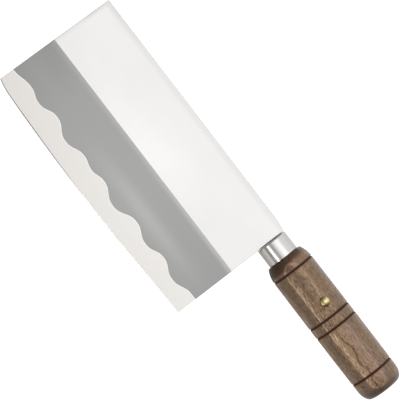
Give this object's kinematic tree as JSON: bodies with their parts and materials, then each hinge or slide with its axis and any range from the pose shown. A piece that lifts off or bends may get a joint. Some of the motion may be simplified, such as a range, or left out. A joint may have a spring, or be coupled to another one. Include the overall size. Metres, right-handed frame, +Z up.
{
  "type": "japanese cleaver",
  "caption": "Wide rectangular kitchen cleaver with a double-bevel steel blade, hidden tang, steel ferrule and round turned wooden handle pinned by a brass rivet.",
  "frame": {"origin": "under the middle of the knife's bounding box, on the surface it lies on", "axes": "+X along the knife from the blade's front edge to the handle's butt, +Y from the cutting edge to the spine, +Z up, out of the blade's left face. The knife lies on its right side as it rests on a table: on the front end of its right-hand bevel and on the underside of the handle's front shoulder, so the handle's axis climbs 3.65 degrees towards the butt and the blade is rolled 1.1 degrees with its edge side down"},
  "size_m": [0.2798, 0.0846, 0.0324],
  "materials": {
    "blade_steel": "polished cheeks and edge strip, matt grey band between them",
    "ferrule_steel": "drawn and brushed",
    "dark_resin": "matt, cast in place",
    "walnut": "thin satin varnish over open grain, burnt grooves",
    "brass": "polished"
  },
  "bodies": {
    "root": {"blade": "blade_steel", "ferrule": "ferrule_steel", "ferrule_fill": "dark_resin", "handle": "walnut", "rivet": "brass"}
  },
  "joints": []
}
